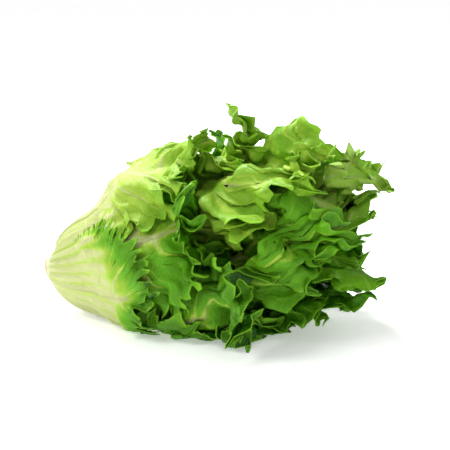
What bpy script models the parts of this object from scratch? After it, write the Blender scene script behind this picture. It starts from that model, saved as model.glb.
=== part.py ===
# A cut head of curled leaf lettuce, lying on its side: a short stem and the leaves
# that grow from it in a golden-angle spiral. Metres, +Z up, +X from the cut stem to
# the leaf tips, -Y towards the front. The origin is on the table under the middle.
#
# Every leaf is a layer of one nested family. A point of the head has three
# coordinates: "along", the length of leaf from the stem; "around", the angle about
# the head's axis; and "openness", 0 for the heart and 1 for the outermost leaf.
# Leaves are draped in that order, so that none of them crosses another.

import math

import bmesh
import bpy
import numpy as np
from mathutils.bvhtree import BVHTree

# Driving sizes of the head
LEAF_COUNT = 22
HEART_COUNT = 8             # the innermost leaves, which get a coarser mesh
GOLDEN_ANGLE = math.radians(137.50776)
FIRST_LEAF_ANGLE = math.radians(101)   # from straight up, towards the front
STEM_RADIUS = 0.0110
STEM_TIP_RADIUS = 0.0035
STEM_LENGTH = 0.058
STEM_PROUD = 0.0005         # the cut face is this far behind the start of the head's axis
STEM_SIDES = 20
CUT_BEVEL = 0.0008
AXIS_HEIGHT = 0.041         # of the cut face's centre above the table
AXIS_TILT = math.radians(10.5)   # the leafy end is the fatter one, so the axis climbs

# The nested family of leaf profiles: each pair is for the heart and the outermost leaf
MOST_OPEN = 2.2             # of the tables: draping lifts the outer leaves past 1
PROFILE_LENGTH = 0.315
BASE_ANGLE = (math.radians(10), math.radians(50))
BASE_BEND = (0.036, 0.064)  # length over which a leaf turns to lie along the axis
BASE_BEND_POWER = 1.1
FLARE_ANGLE = math.radians(72)    # at the tip of the outermost leaf
FLARE_FROM = (0.155, 0.128)
FLARE_TO = (0.330, 0.225)
FLARE_POWER = 1.0

# Leaf shape
OUTERMOST, INNERMOST = 0.70, 0.03   # openness, before the leaves are laid on each other
LEAF_LENGTHS = (0.188, 0.222, 0.246, 0.266, 0.264, 0.215)   # from the outermost leaf inwards
OWN_SHAPES = {2: (1.10, 0.25), 7: (1.05, 0.10), 10: (1.06, 0.0)}   # leaf: length, flop outwards
WIDEST_AT = 0.70            # share of the length
WIDE_MARK = 0.60            # share of the margin from the base to the widest place
ROOT_END = 0.90             # share of the length where the last vein leaves the rib
BASE_HALF_ANGLE = math.radians(46)
WAIST_HALF_ANGLE = math.radians(48)
TOP_HALF_ANGLE = math.radians(56)
WAIST_MARK = 0.22           # shares of the margin from the base, like WIDE_MARK
TOP_MARKS = (0.20, 0.60)
VEIN_BOW = 0.25             # how much a side vein bends towards the tip
LENGTHS_VARY = (0.95, 1.05)
TWIST = 0.16
LEAN = (0.5, 0.010)         # most to one side, and metres of it at the tip
CURL = (0.2, 1.0, 0.010)    # least, most, and metres of it at the tip
RISE_FROM = 0.35            # share of the length where lean, curl and flop begin
SMALLEST_LEAF = 0.55        # size of a heart leaf's waves and ribs, and where it is full
FULL_SIZE_AT = 0.45
FRILLED_FROM = 0.22         # openness from which leaves have their whole frill
BLADE = 0.0008
RIB_THICKNESS = 0.0034
RIB_FADE = 0.060
FLESH_AT_MARGIN = 0.2       # of the flesh beside the rib
RIB_LINE = (0.0014, 0.12, 0.2)   # the narrow rib's height, how far it runs and its width in q
INNER_FACE = 0.0004         # the blade's inner face lies this far inside its layer
LEAF_SEAT = 0.0008          # from the stem to the middle of each leaf's foot
FIRST_SEAT = 0.06           # where the outermost leaf's foot is, as a share of the stem

# Frills: wavelength and height of each size of wave along the margin
WIDE_WAVE = (0.058, 0.0085)
WIDE_WAVE_POWER = 1.6       # it fades towards the rib with this power of q
FRILL_DEPTH = 0.5           # q where the frill begins
FRILL_MARKS = (0.16, 0.46)  # the margin is plain before the first, whole from the second
PACE_WANDER = (0.9, 2.7)    # a wave's pace: how much it wanders, over how many waves
HEIGHT_WANDER = ((0.22, 3.7), (0.12, 1.7))
MEAN_HEIGHT = 0.78
FRILL_WAVE = (0.0280, 0.0110)
FRILL_LEAN = 0.36           # how far a frill's sides lean over, 0 for a plain sine
SHEAR_WAVES = ((0.120, 0.0100), (0.090, 0.0090), (0.072, 0.0080), (0.060, 0.0070), (0.052, 0.0060))
RUFFLES_ALONG = (0.085, 0.175)   # along the axis, where the smooth lower leaves end
TABLE_SOFTNESS = 0.016      # leaves nearer the table than this are pressed flatter
SQUASH = 0.40               # of the leaves under the head, which its weight folds in
SQUASH_ALONG = (0.02, 0.19)
LEAST_GAP = (0.0012, 0.0024)    # from a leaf's layer to the face under it, at the base and in the frill
GAP_ALONG = (0.10, 0.18)
HALF_MARGIN = 0.250         # metres of margin from the tip to the base, for the waves
LEAST_OPEN = 0.004
LEAST_RADIUS = 0.02
SEED = 41

# Meshes: q of each ring of points from the rib to the margin, and its steps a side
LARGE_RINGS = (0.0, 0.30, 0.62, 0.86, 1.0)
LARGE_STEPS = (10, 10, 20, 40, 40)
HEART_RINGS = (0.0, 0.45, 0.78, 1.0)
HEART_STEPS = (8, 16, 16, 16)
ROOM_STEPS = (0.0005, 0.01, 0.004)   # in along, around and openness
LEAST_ROOM = 0.008
SPOTS = 6                   # steps along a triangle's side, where a leaf is laid on another
RAISE_EFFORTS = (0.5, 0.5, 0.5, 1.0)
RAISE_REACH = 3             # rings of triangles that rise with one that has to
RAISE_SPREAD = 0.8
SAFETY = 0.00018            # added to both faces while leaves are pushed apart
PUSH = 0.0008
FACING_STEPS = (0.5, 0.4, 0.3, 0.25, 0.2, 0.16, 0.13, 0.10, 0.08, 0.06, 0.05, 0.04)
LEAST_FACING = 0.6          # a wall grows by no more than this at a fold
FOLD_LIMIT = 0.25           # triangles round a point that face it less than this are unfolded
UNFOLD = 0.5
UNFOLD_ROUNDS = 40
MOST_ROUNDS = 80
FLAT_SPOT = 0.00072         # points this near the table lie flat on it

# Colours, as red, green and blue light
STEM_COLOUR = (0.74, 0.76, 0.55)
OUTER_COLOUR = (0.10, 0.33, 0.03)
HEART_COLOUR = (0.36, 0.55, 0.09)
LEAF_ROUGHNESS = 0.45
SHARP_EDGE = math.radians(60)


def smoothstep(t):
    t = np.clip(t, 0.0, 1.0)
    return t * t * (3 - 2 * t)


def mix(pair, t):
    return pair[0] + (pair[1] - pair[0]) * t


def ramp(value, pair):
    """A smooth 0 to 1 between the two values of the pair."""
    return smoothstep((value - pair[0]) / (pair[1] - pair[0]))


class Profiles:
    """The family of leaf profiles in the half-plane of axis and radius, as tables."""

    STEP = 0.0015
    LAYERS = 221

    def __init__(self):
        self.along = np.arange(0.0, PROFILE_LENGTH + self.STEP, self.STEP)
        openness = np.linspace(0.0, MOST_OPEN, self.LAYERS)
        self.layer = openness[1]
        a, o = np.meshgrid(self.along, openness, indexing="ij")
        inside = o - 0.6 * np.maximum(o - 1, 0)
        base = mix(BASE_ANGLE, inside) * np.exp(-((a / mix(BASE_BEND, inside)) ** BASE_BEND_POWER))
        flare_from = mix(FLARE_FROM, inside)
        share = (a - flare_from) / (mix(FLARE_TO, inside) - flare_from)
        heading = base + FLARE_ANGLE * inside**FLARE_POWER * smoothstep(share)
        start_x = STEM_LENGTH * mix((1, FIRST_SEAT), inside)
        start_r = mix((STEM_TIP_RADIUS, STEM_RADIUS), inside) + LEAF_SEAT
        self.x = start_x + self.running(np.cos(heading))
        self.r = start_r + self.running(np.sin(heading))
        x_a, x_o = np.gradient(self.x, self.STEP, self.layer)
        r_a, r_o = np.gradient(self.r, self.STEP, self.layer)
        self.spread = np.maximum(x_a * r_o - x_o * r_a, 0.020)   # metres per unit of openness

    def running(self, rate):
        steps = (rate[1:] + rate[:-1]) / 2 * self.STEP
        return np.vstack([np.zeros((1, rate.shape[1])), np.cumsum(steps, axis=0)])

    def read(self, table, along, openness):
        i = np.clip(along / self.STEP, 0, len(self.along) - 1.001)
        j = np.clip(openness / self.layer, 0, self.LAYERS - 1.001)
        i0, j0 = i.astype(int), j.astype(int)
        u, v = i - i0, j - j0
        return (
            table[i0, j0] * (1 - u) * (1 - v)
            + table[i0 + 1, j0] * u * (1 - v)
            + table[i0, j0 + 1] * (1 - u) * v
            + table[i0 + 1, j0 + 1] * u * v
        )


PROFILES = Profiles()


class Leaf:
    """One leaf's place in the spiral, its size, and the seeded phases of its waves."""

    def __init__(self, index):
        draw = np.random.RandomState(SEED + index)
        self.index = index
        self.openness = mix((OUTERMOST, INNERMOST), index / (LEAF_COUNT - 1))
        self.angle = FIRST_LEAF_ANGLE + index * GOLDEN_ANGLE
        known = np.linspace(0, LEAF_COUNT - 1, len(LEAF_LENGTHS))
        self.length = np.interp(index, known, LEAF_LENGTHS) * draw.uniform(*LENGTHS_VARY)
        self.twist = draw.uniform(-TWIST, TWIST)
        self.lean = draw.uniform(-LEAN[0], LEAN[0])
        self.curl = draw.uniform(*CURL[:2])
        self.phases = draw.uniform(0, 2 * math.pi, (2, 4))
        own = OWN_SHAPES.get(index, (1.0, 0.0))
        self.length *= own[0]
        self.flop = own[1]
        self.size = mix((SMALLEST_LEAF, 1), smoothstep(self.openness / FULL_SIZE_AT))
        self.frilled = smoothstep(self.openness / FRILLED_FROM)

    def waves(self, band, distance, wavelength):
        """A wave along the margin whose pace and height wander: (height, phase)."""
        own = self.phases[band]
        turn = 2 * math.pi * distance / wavelength
        phase = turn + PACE_WANDER[0] * np.sin(turn / PACE_WANDER[1] + own[0]) + own[1]
        height = MEAN_HEIGHT
        for (share, waves), start in zip(HEIGHT_WANDER, own[2:]):
            height = height + share * np.sin(turn / waves + start)
        return height * np.sin(phase), phase


def chart(leaf, mark, q):
    """Where a point of the leaf lies: (along, around, openness).
    mark is -1 and 1 at the two ends of the margin and 0 at the tip; q is 0 on the rib
    and 1 at the margin, so each line of one mark is a side vein."""
    m = 1 - np.abs(mark)
    side = np.sign(mark)
    wide_along = WIDEST_AT * leaf.length
    turn = np.clip((m - WIDE_MARK) / (1 - WIDE_MARK), 0, 1) * math.pi / 2
    edge_along = np.where(
        m < WIDE_MARK,
        wide_along * m / WIDE_MARK,
        wide_along + (leaf.length - wide_along) * np.sin(turn),
    )
    to_waist = smoothstep(m / WAIST_MARK)
    to_top = ramp(m, TOP_MARKS)
    half = BASE_HALF_ANGLE + (WAIST_HALF_ANGLE - BASE_HALF_ANGLE) * to_waist
    half = half + (TOP_HALF_ANGLE - WAIST_HALF_ANGLE) * to_top
    edge_around = half * np.cos(turn)
    root = ROOT_END * leaf.length * m
    along = root + (edge_along - root) * q * (1 - VEIN_BOW + VEIN_BOW * q)
    around = side * edge_around * q

    frill = ramp(m, FRILL_MARKS) * leaf.size
    distance = mark * HALF_MARGIN * leaf.size
    wide, _ = leaf.waves(0, distance, WIDE_WAVE[0])
    fine, phase = leaf.waves(1, distance, FRILL_WAVE[0])
    near_edge = ramp(q, (FRILL_DEPTH, 1))
    raised = WIDE_WAVE[1] * wide * q**WIDE_WAVE_POWER + FRILL_WAVE[1] * fine * near_edge
    shift = -FRILL_LEAN * FRILL_WAVE[0] / (2 * math.pi) * np.sin(2 * phase) * near_edge * frill
    towards_tip = ramp(m, (WIDE_MARK, 1))
    radius = PROFILES.read(PROFILES.r, along, np.full(along.shape, leaf.openness))
    along = along - np.abs(side) * shift * (1 - towards_tip) * side
    around = around + shift * towards_tip / np.maximum(radius, LEAST_RADIUS)

    rise = ramp(along / leaf.length, (RISE_FROM, 1))
    raised = raised * frill * leaf.frilled
    raised = raised + (leaf.curl * CURL[2] * q + leaf.lean * LEAN[1] * side) * q * rise
    spread = PROFILES.read(PROFILES.spread, along, np.full(along.shape, leaf.openness))
    openness = leaf.openness + leaf.flop * rise**2 + raised / spread
    return along, leaf.angle + leaf.twist * rise + around, np.maximum(openness, LEAST_OPEN)


class Drape:
    """The outermost face laid so far, on a grid of along and around."""

    ROWS, COLUMNS = 110, 150
    ROW = PROFILE_LENGTH / ROWS
    COLUMN = 2 * math.pi / COLUMNS

    def __init__(self):
        self.top = np.full((self.ROWS + 1, self.COLUMNS), -1.0)

    def cells(self, along, around):
        i = np.clip(np.rint(along / self.ROW).astype(int), 0, self.ROWS)
        j = np.rint(around / self.COLUMN).astype(int) % self.COLUMNS
        return i, j

    def cover(self, leaf, along, around, openness, q, faces, spots):
        """Lays a leaf on what is there already, and returns its raised openness.
        spots are places on a triangle, as weights of its corners, where it is tested."""
        grown = self.top
        for axis in (0, 1):
            grown = np.maximum(grown, np.maximum(np.roll(grown, 1, axis), np.roll(grown, -1, axis)))
        at = [spots @ values[faces].T for values in (along, around, q)]
        cells = self.cells(at[0], at[1])
        for effort in RAISE_EFFORTS:
            layer = spots @ openness[faces].T
            metres = room(at[0], at[1], layer)
            gap = mix(LEAST_GAP, ramp(at[0], GAP_ALONG))
            short = np.maximum(grown[cells] + gap / metres - layer, 0).max(axis=0)
            raised = np.zeros(len(openness))
            for _ in range(RAISE_REACH):
                for corner in range(3):
                    np.maximum.at(raised, faces[:, corner], short)
                short = np.maximum(short, RAISE_SPREAD * raised[faces].max(axis=1))
            openness = openness + effort * raised
        layer = spots @ openness[faces].T
        outer = (thickness(leaf, at[0], at[2]) - INNER_FACE) / metres
        np.maximum.at(self.top, cells, layer + outer)
        return openness


def shears():
    """Sideways slides of the whole space, each by a sine of the position across it.
    A slide moves points only along their own wave front, so nothing can cross."""
    draw = np.random.RandomState(SEED)
    made = []
    for wavelength, slide in SHEAR_WAVES:
        front = draw.normal(size=3)
        front /= np.linalg.norm(front)
        way = np.cross(front, draw.normal(size=3))
        way /= np.linalg.norm(way)
        made.append((front * 2 * math.pi / wavelength, way * slide, draw.uniform(0, 2 * math.pi)))
    return made


SHEARS = shears()


def squashed(along, around):
    """The share of its openness that a leaf keeps: less under the head, on the table."""
    under = np.maximum(-np.cos(around), 0) ** 3
    return 1 - SQUASH * under * ramp(along, SQUASH_ALONG)


def place(along, around, openness):
    """World places of points given by their three head coordinates."""
    openness = openness * squashed(along, around)
    x = PROFILES.read(PROFILES.x, along, openness)
    r = PROFILES.read(PROFILES.r, along, openness)
    p = np.stack([x, r * np.sin(around), r * np.cos(around)], axis=-1)
    for front, way, phase in SHEARS:
        ruffled = ramp(p[..., 0], RUFFLES_ALONG)
        p = p + (ruffled * np.sin(p @ front + phase))[..., None] * way
    return settle(p)


def settle(p):
    """Turns a point from the head's own axes to where it lies, pressed to the table."""
    cos_tilt, sin_tilt = math.cos(AXIS_TILT), math.sin(AXIS_TILT)
    height = AXIS_HEIGHT + p[..., 0] * sin_tilt + p[..., 2] * cos_tilt
    pressed = TABLE_SOFTNESS * np.exp(np.minimum(height / TABLE_SOFTNESS - 1, 0))
    height = np.where(height < TABLE_SOFTNESS, pressed, height)
    return np.stack(
        [p[..., 0] * cos_tilt - p[..., 2] * sin_tilt, -p[..., 1], height], axis=-1
    )


def room(along, around, openness):
    """How far apart layers lie there, in metres for each unit of openness."""
    coordinates = np.stack([along, around, openness])
    ways = []
    for axis, step in enumerate(ROOM_STEPS):
        nudge = np.zeros((3,) + (1,) * np.ndim(along))
        nudge[axis] = step
        ways.append((place(*(coordinates + nudge)) - place(*(coordinates - nudge))) / (2 * step))
    normal = np.cross(ways[0], ways[1])
    normal /= np.linalg.norm(normal, axis=-1, keepdims=True) + 1e-12
    return np.maximum(np.abs(np.sum(normal * ways[2], axis=-1)), LEAST_ROOM)


def thickness(leaf, along, q):
    """Of the blade: fleshy at the base, with the rib along its middle."""
    height, run, width = RIB_LINE
    flesh = (RIB_THICKNESS * leaf.size - BLADE) * np.exp(-((along / RIB_FADE) ** 1.5))
    rib = height * leaf.size * np.exp(-along / run) * np.exp(-((q / width) ** 2))
    return BLADE + flesh * mix((1, FLESH_AT_MARGIN), q**2) + rib


def grid(rings, counts):
    """Marks and q of a leaf's mesh points, its triangles, and its rim, in order.
    Rings run from the rib to the margin, and each has its count of steps a side."""
    marks, qs, lines = [], [], []
    for q, count in zip(rings, counts):
        m = (np.arange(count + 1) / count) ** 0.85
        line = np.concatenate([m - 1, (1 - m[:-1])[::-1]])
        first = len(marks)
        if q == 0:
            marks.extend(m - 1)
            qs.extend([0.0] * (count + 1))
            lines.append(list(range(count + 1)) + list(range(count - 1, -1, -1)))
        else:
            marks.extend(line)
            qs.extend([q] * len(line))
            lines.append(list(range(first, first + len(line))))
    faces = []
    for inner, outer in zip(lines, lines[1:]):
        if len(inner) == len(outer):
            for j in range(len(inner) - 1):
                a, b, c, d = inner[j], inner[j + 1], outer[j + 1], outer[j]
                faces += [(a, b, d), (b, c, d)] if j < len(inner) // 2 else [(a, b, c), (a, c, d)]
        else:
            for j in range(len(inner) - 1):
                a, b = inner[j], inner[j + 1]
                c, d, e = outer[2 * j + 2], outer[2 * j + 1], outer[2 * j]
                faces += [(a, b, d), (b, c, d), (a, d, e)]
    rim = lines[-1] + [line[-1] for line in lines[-2:0:-1]] + [lines[0][0]]
    rim += [line[0] for line in lines[1:-1]]
    return np.array(marks), np.array(qs), np.array(faces), rim


def open_directions(points, faces):
    """At each point, the way that all triangles round it face best, and how well."""
    corners = points[faces]
    across = np.cross(corners[:, 1] - corners[:, 0], corners[:, 2] - corners[:, 0])
    ways = np.zeros_like(points)
    for k in range(3):
        np.add.at(ways, faces[:, k], across)
    ways /= np.maximum(np.linalg.norm(ways, axis=1, keepdims=True), 1e-12)
    across = across / np.maximum(np.linalg.norm(across, axis=1, keepdims=True), 1e-12)
    for step in FACING_STEPS:
        facing = np.einsum("fkc,fc->fk", ways[faces], across)
        least = np.ones(len(points))
        np.minimum.at(least, faces, facing)
        face, corner = np.nonzero(facing <= least[faces])
        np.add.at(ways, faces[face, corner], step * across[face])
        ways /= np.linalg.norm(ways, axis=1, keepdims=True)
    facing = np.einsum("fkc,fc->fk", ways[faces], across)
    least = np.ones(len(points))
    np.minimum.at(least, faces, facing)
    return ways, least

def spots_on_triangle(steps):
    """Places spread evenly over a triangle, as weights of its three corners."""
    found = []
    for i in range(steps + 1):
        for j in range(steps + 1 - i):
            found.append((i / steps, j / steps, 1 - (i + j) / steps))
    return np.array(found)


def blade_solid(leaf, along, around, openness, q, faces, rim, extra=0.0):
    """Points and triangles of a leaf: two like faces, and the strip that joins them."""
    middle = place(along, around, openness)
    ways, facing = open_directions(middle, faces)
    ways = ways / np.maximum(facing, LEAST_FACING)[:, None]
    thick = thickness(leaf, along, q)[:, None]
    inner = middle - ways * (INNER_FACE + extra)
    outer = middle + ways * (thick - INNER_FACE + extra)
    count = len(middle)
    solid = np.concatenate([faces[:, ::-1], faces + count])
    here = np.array(rim)
    there = np.roll(here, -1)
    edge = np.concatenate([
        np.stack([here, there, there + count], axis=1),
        np.stack([here, there + count, here + count], axis=1),
    ])
    return np.concatenate([inner, outer]), np.concatenate([solid, edge])


def material(name, colour):
    made = bpy.data.materials.new(name)
    made.use_nodes = True
    shader = made.node_tree.nodes["Principled BSDF"]
    shader.inputs["Base Color"].default_value = (*colour, 1.0)
    shader.inputs["Roughness"].default_value = LEAF_ROUGHNESS
    shader.inputs["Metallic"].default_value = 0.0
    return made


def add_node(name, points, faces, colour, head):
    mesh = bpy.data.meshes.new(name)
    mesh.from_pydata(points.tolist(), [], faces.tolist())
    shape = bmesh.new()
    shape.from_mesh(mesh)
    bmesh.ops.recalc_face_normals(shape, faces=shape.faces)
    shape.to_mesh(mesh)
    shape.free()
    mesh.shade_smooth()
    mesh.set_sharp_from_angle(angle=SHARP_EDGE)
    mesh.materials.append(material(name, colour))
    made = bpy.data.objects.new(name, mesh)
    made.parent = head
    bpy.context.scene.collection.objects.link(made)
    return made


def stem_solid():
    """The short stem, a turned cone from the cut face to the heart."""
    seats = np.linspace(0, 1, 6)
    xs = [-STEM_PROUD, -STEM_PROUD, CUT_BEVEL - STEM_PROUD]
    rs = [0.0, STEM_RADIUS - CUT_BEVEL, STEM_RADIUS]
    xs += list(mix((STEM_LENGTH * FIRST_SEAT, STEM_LENGTH), seats))
    rs += list(mix((STEM_RADIUS, STEM_TIP_RADIUS), seats))
    xs.append(STEM_LENGTH + CUT_BEVEL)
    rs.append(0.0)
    turn = np.arange(STEM_SIDES) * 2 * math.pi / STEM_SIDES
    points = [(xs[0], 0.0, 0.0)]
    for x, r in zip(xs[1:-1], rs[1:-1]):
        points += [(x, r * math.sin(t), r * math.cos(t)) for t in turn]
    points.append((xs[-1], 0.0, 0.0))
    faces = []
    last = len(points) - 1
    for side in range(STEM_SIDES):
        following = (side + 1) % STEM_SIDES
        faces.append((0, 1 + following, 1 + side))
        faces.append((last, last - STEM_SIDES + side, last - STEM_SIDES + following))
        for ring in range(len(xs) - 3):
            near = 1 + ring * STEM_SIDES
            far = near + STEM_SIDES
            faces.append((near + side, near + following, far + following))
            faces.append((near + side, far + following, far + side))
    return np.array(points), np.array(faces)


def lay_leaves(leaves):
    """Lays the leaves from the heart outwards: for each, its points and their mesh."""
    large = grid(LARGE_RINGS, LARGE_STEPS)
    small = grid(HEART_RINGS, HEART_STEPS)
    spots = spots_on_triangle(SPOTS)
    drape = Drape()
    laid = {}
    for leaf in reversed(leaves):
        marks, q, faces, rim = small if leaf.index >= LEAF_COUNT - HEART_COUNT else large
        along, around, openness = chart(leaf, marks, q)
        openness = drape.cover(leaf, along, around, openness, q, faces, spots)
        laid[leaf.index] = (along, around, openness, q, faces, rim)
    return laid


def sharp_folds(laid_leaf, tree, solid):
    """The triangles where a leaf is folded too sharply, or where its own walls cross."""
    along, around, openness, _, faces, _ = laid_leaf
    _, facing = open_directions(place(along, around, openness), faces)
    folded = facing < FOLD_LIMIT
    for one, other in tree.overlap(tree):
        if one < other and not set(solid[one]) & set(solid[other]):
            folded[solid[[one, other]] % len(along)] = True
    return faces[folded[faces].any(axis=1)]


def unfold(openness, faces):
    """Lifts the low points of the triangles halfway to each one's mean."""
    level = openness[faces].mean(axis=1)
    lifted = openness.copy()
    for corner in range(3):
        np.maximum.at(lifted, faces[:, corner], level)
    openness += UNFOLD * (lifted - openness)


def part_leaves(leaves, laid):
    """Opens a leaf a little more wherever it meets one inside it or is folded sharply."""
    for turn in range(MOST_ROUNDS):
        shapes = []
        for leaf in leaves:
            points, faces = blade_solid(leaf, *laid[leaf.index], extra=SAFETY)
            shapes.append((BVHTree.FromPolygons(points.tolist(), faces.tolist()), faces))
        clear = True
        for outer, (tree, solid) in enumerate(shapes):
            along, around, openness = laid[outer][:3]
            if turn < UNFOLD_ROUNDS:
                folds = sharp_folds(laid[outer], tree, solid)
                clear = clear and len(folds) == 0
                unfold(openness, folds)
            for inner_tree, _ in shapes[outer + 1:]:
                meeting = sorted({mine for mine, _ in tree.overlap(inner_tree)})
                if meeting:
                    clear = False
                    at = np.unique(solid[meeting] % len(along))
                    openness[at] += PUSH / room(along[at], around[at], openness[at])
        if clear:
            return


def main():
    for old in list(bpy.data.objects):
        bpy.data.objects.remove(old)
    leaves = [Leaf(index) for index in range(LEAF_COUNT)]
    laid = lay_leaves(leaves)
    part_leaves(leaves, laid)
    leaf_points, leaf_faces = [], []
    for leaf in leaves:
        points, faces = blade_solid(leaf, *laid[leaf.index])
        leaf_points.append(points)
        leaf_faces.append(faces)
    stem_points, stem_faces = stem_solid()
    every = np.concatenate([settle(stem_points), *leaf_points])
    low, high = every.min(axis=0), every.max(axis=0)
    origin = np.array([(low[0] + high[0]) / 2, (low[1] + high[1]) / 2, low[2]])

    head = bpy.data.objects.new("head", None)
    bpy.context.scene.collection.objects.link(head)
    stem = add_node("stem", stem_points, stem_faces, STEM_COLOUR, head)
    stem.location = np.array([0.0, 0.0, AXIS_HEIGHT]) - origin
    stem.rotation_euler = (0.0, -AXIS_TILT, 0.0)
    for leaf, points, faces in zip(leaves, leaf_points, leaf_faces):
        points = points - origin
        points[:, 2] = np.where(points[:, 2] < FLAT_SPOT, 0.0, points[:, 2])
        inwards = leaf.index / (LEAF_COUNT - 1)
        colour = [mix(pair, inwards) for pair in zip(OUTER_COLOUR, HEART_COLOUR)]
        add_node(f"leaf_{leaf.index + 1:02d}", points, faces, colour, head)


if __name__ == "__main__":
    main()
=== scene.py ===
# %% [markdown]
# # A cut head of curled leaf lettuce
#
# The head lies on its side. A short stem carries twenty-two leaves, each pale, thick
# and ribbed at its foot, and thin, green and frilled at its margin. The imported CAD
# model gives the size of the head and the place of every leaf. Here each of those
# solids is replaced by a much finer leaf that is grown by the same rules. It lies near
# its solid, but has a blunter foot, curls further outwards, and gets the detail that a
# solid can't carry: small frills, teeth, swollen veins, and tissue that light shines
# through.

# %% Load the frame
import math

import bpy
import numpy as np
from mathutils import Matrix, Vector


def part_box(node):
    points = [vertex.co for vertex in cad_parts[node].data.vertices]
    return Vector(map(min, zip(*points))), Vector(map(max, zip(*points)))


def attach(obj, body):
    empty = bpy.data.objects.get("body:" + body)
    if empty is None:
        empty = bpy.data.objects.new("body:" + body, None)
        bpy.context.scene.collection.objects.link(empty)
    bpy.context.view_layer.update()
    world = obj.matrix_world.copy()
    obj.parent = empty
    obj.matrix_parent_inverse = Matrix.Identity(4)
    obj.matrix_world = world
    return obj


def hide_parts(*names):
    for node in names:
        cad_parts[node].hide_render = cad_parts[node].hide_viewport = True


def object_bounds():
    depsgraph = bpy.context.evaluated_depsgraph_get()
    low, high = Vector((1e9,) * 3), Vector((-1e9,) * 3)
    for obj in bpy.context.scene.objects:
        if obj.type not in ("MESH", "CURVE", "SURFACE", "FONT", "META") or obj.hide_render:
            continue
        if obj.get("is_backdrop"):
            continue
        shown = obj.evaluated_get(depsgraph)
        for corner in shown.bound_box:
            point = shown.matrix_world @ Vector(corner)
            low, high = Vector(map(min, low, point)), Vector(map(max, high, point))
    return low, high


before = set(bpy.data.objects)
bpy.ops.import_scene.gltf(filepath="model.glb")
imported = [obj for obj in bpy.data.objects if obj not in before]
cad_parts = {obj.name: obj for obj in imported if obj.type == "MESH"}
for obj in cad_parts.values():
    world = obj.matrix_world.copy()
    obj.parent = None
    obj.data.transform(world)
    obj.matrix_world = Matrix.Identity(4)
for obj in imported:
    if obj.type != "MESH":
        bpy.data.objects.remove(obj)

cad_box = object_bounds()
print("CAD box", [round(side, 4) for side in cad_box[1] - cad_box[0]])


# %% [markdown]
# ## Three small helpers
#
# Nearly everything on a leaf fades in or out: the pale foot into the green blade, the
# flat blade into the frill. One smooth step does all of those fades, and a ramp runs
# it between two given values. The third helper mixes two values, because the outermost
# leaf and the heart leaf are the two ends of one family and every leaf between them is
# a mixture.

# %% Smooth steps and mixtures
def smoothstep(t):
    t = np.clip(t, 0.0, 1.0)
    return t * t * (3 - 2 * t)


def ramp(value, pair):
    """A smooth 0 to 1 between the two values of the pair."""
    return smoothstep((value - pair[0]) / (pair[1] - pair[0]))


def mix(pair, t):
    return pair[0] + (pair[1] - pair[0]) * t


print("a quarter of the way up, a ramp has reached", float(ramp(0.25, (0, 1))))


# %% [markdown]
# ## The family of leaf profiles
#
# Cut a real head in half along its stem, and the leaves show as nested curves: each
# one leaves the stem at an angle, bends to run along the head, and flares outwards
# near its tip. They could be drawn one by one, but then neighbours would cut through
# each other. Here one function gives all the curves, from the heart (openness 0) to
# the outermost leaf (openness 1) and beyond, and the curves of one family never cross.
# They are kept as tables, so that a million points can be looked up in a moment.

# %% Profiles of the leaves
LEAF_COUNT = 22
STEM_RADIUS = 0.0110
STEM_TIP_RADIUS = 0.0035
STEM_LENGTH = 0.058
STEM_PROUD = 0.0005
LEAF_SEAT = 0.0008
FIRST_SEAT = 0.06
SEATED_BY = 0.75             # openness of the leaves that grow from the stem's cut end
MOST_OPEN = 3.2
PROFILE_LENGTH = 0.315
BASE_ANGLE = (math.radians(10), math.radians(108))
BASE_BEND = (0.036, 0.045)
BASE_BEND_POWER = 1.3
FLARE_ANGLE = math.radians(94)
FLARE_FROM = (0.150, 0.150)
FLARE_TO = (0.310, 0.255)
PAST_THE_OUTERMOST = 0.6    # openness beyond 1 counts this much less
LEAST_SPREAD = 0.020


class Profiles:
    """The leaf profiles in the half-plane of axis and radius, as tables."""

    STEP = 0.0015
    LAYERS = 321

    def __init__(self):
        self.along = np.arange(0.0, PROFILE_LENGTH + self.STEP, self.STEP)
        openness = np.linspace(0.0, MOST_OPEN, self.LAYERS)
        self.layer = openness[1]
        a, o = np.meshgrid(self.along, openness, indexing="ij")
        inside = o - PAST_THE_OUTERMOST * np.maximum(o - 1, 0)
        base = mix(BASE_ANGLE, inside) * np.exp(-((a / mix(BASE_BEND, inside)) ** BASE_BEND_POWER))
        flare_from = mix(FLARE_FROM, inside)
        share = (a - flare_from) / (mix(FLARE_TO, inside) - flare_from)
        heading = base + FLARE_ANGLE * inside * smoothstep(share)
        seat = mix((1, FIRST_SEAT), np.minimum(inside / SEATED_BY, 1))
        self.x = STEM_LENGTH * seat + self.running(np.cos(heading))
        start_r = mix((STEM_TIP_RADIUS, STEM_RADIUS), inside) + LEAF_SEAT
        self.r = start_r + self.running(np.sin(heading))
        x_a, x_o = np.gradient(self.x, self.STEP, self.layer)
        r_a, r_o = np.gradient(self.r, self.STEP, self.layer)
        self.spread = np.maximum(x_a * r_o - x_o * r_a, LEAST_SPREAD)

    def running(self, rate):
        steps = (rate[1:] + rate[:-1]) / 2 * self.STEP
        return np.vstack([np.zeros((1, rate.shape[1])), np.cumsum(steps, axis=0)])

    def read(self, table, along, openness):
        i = np.clip(along / self.STEP, 0, len(self.along) - 1.001)
        j = np.clip(openness / self.layer, 0, self.LAYERS - 1.001)
        i0, j0 = i.astype(int), j.astype(int)
        u, v = i - i0, j - j0
        near = table[i0, j0] * (1 - v) + table[i0, j0 + 1] * v
        far = table[i0 + 1, j0] * (1 - v) + table[i0 + 1, j0 + 1] * v
        return near * (1 - u) + far * u


PROFILES = Profiles()
print("profiles reach", round(float(PROFILES.r.max()), 3), "m from the axis")


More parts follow.
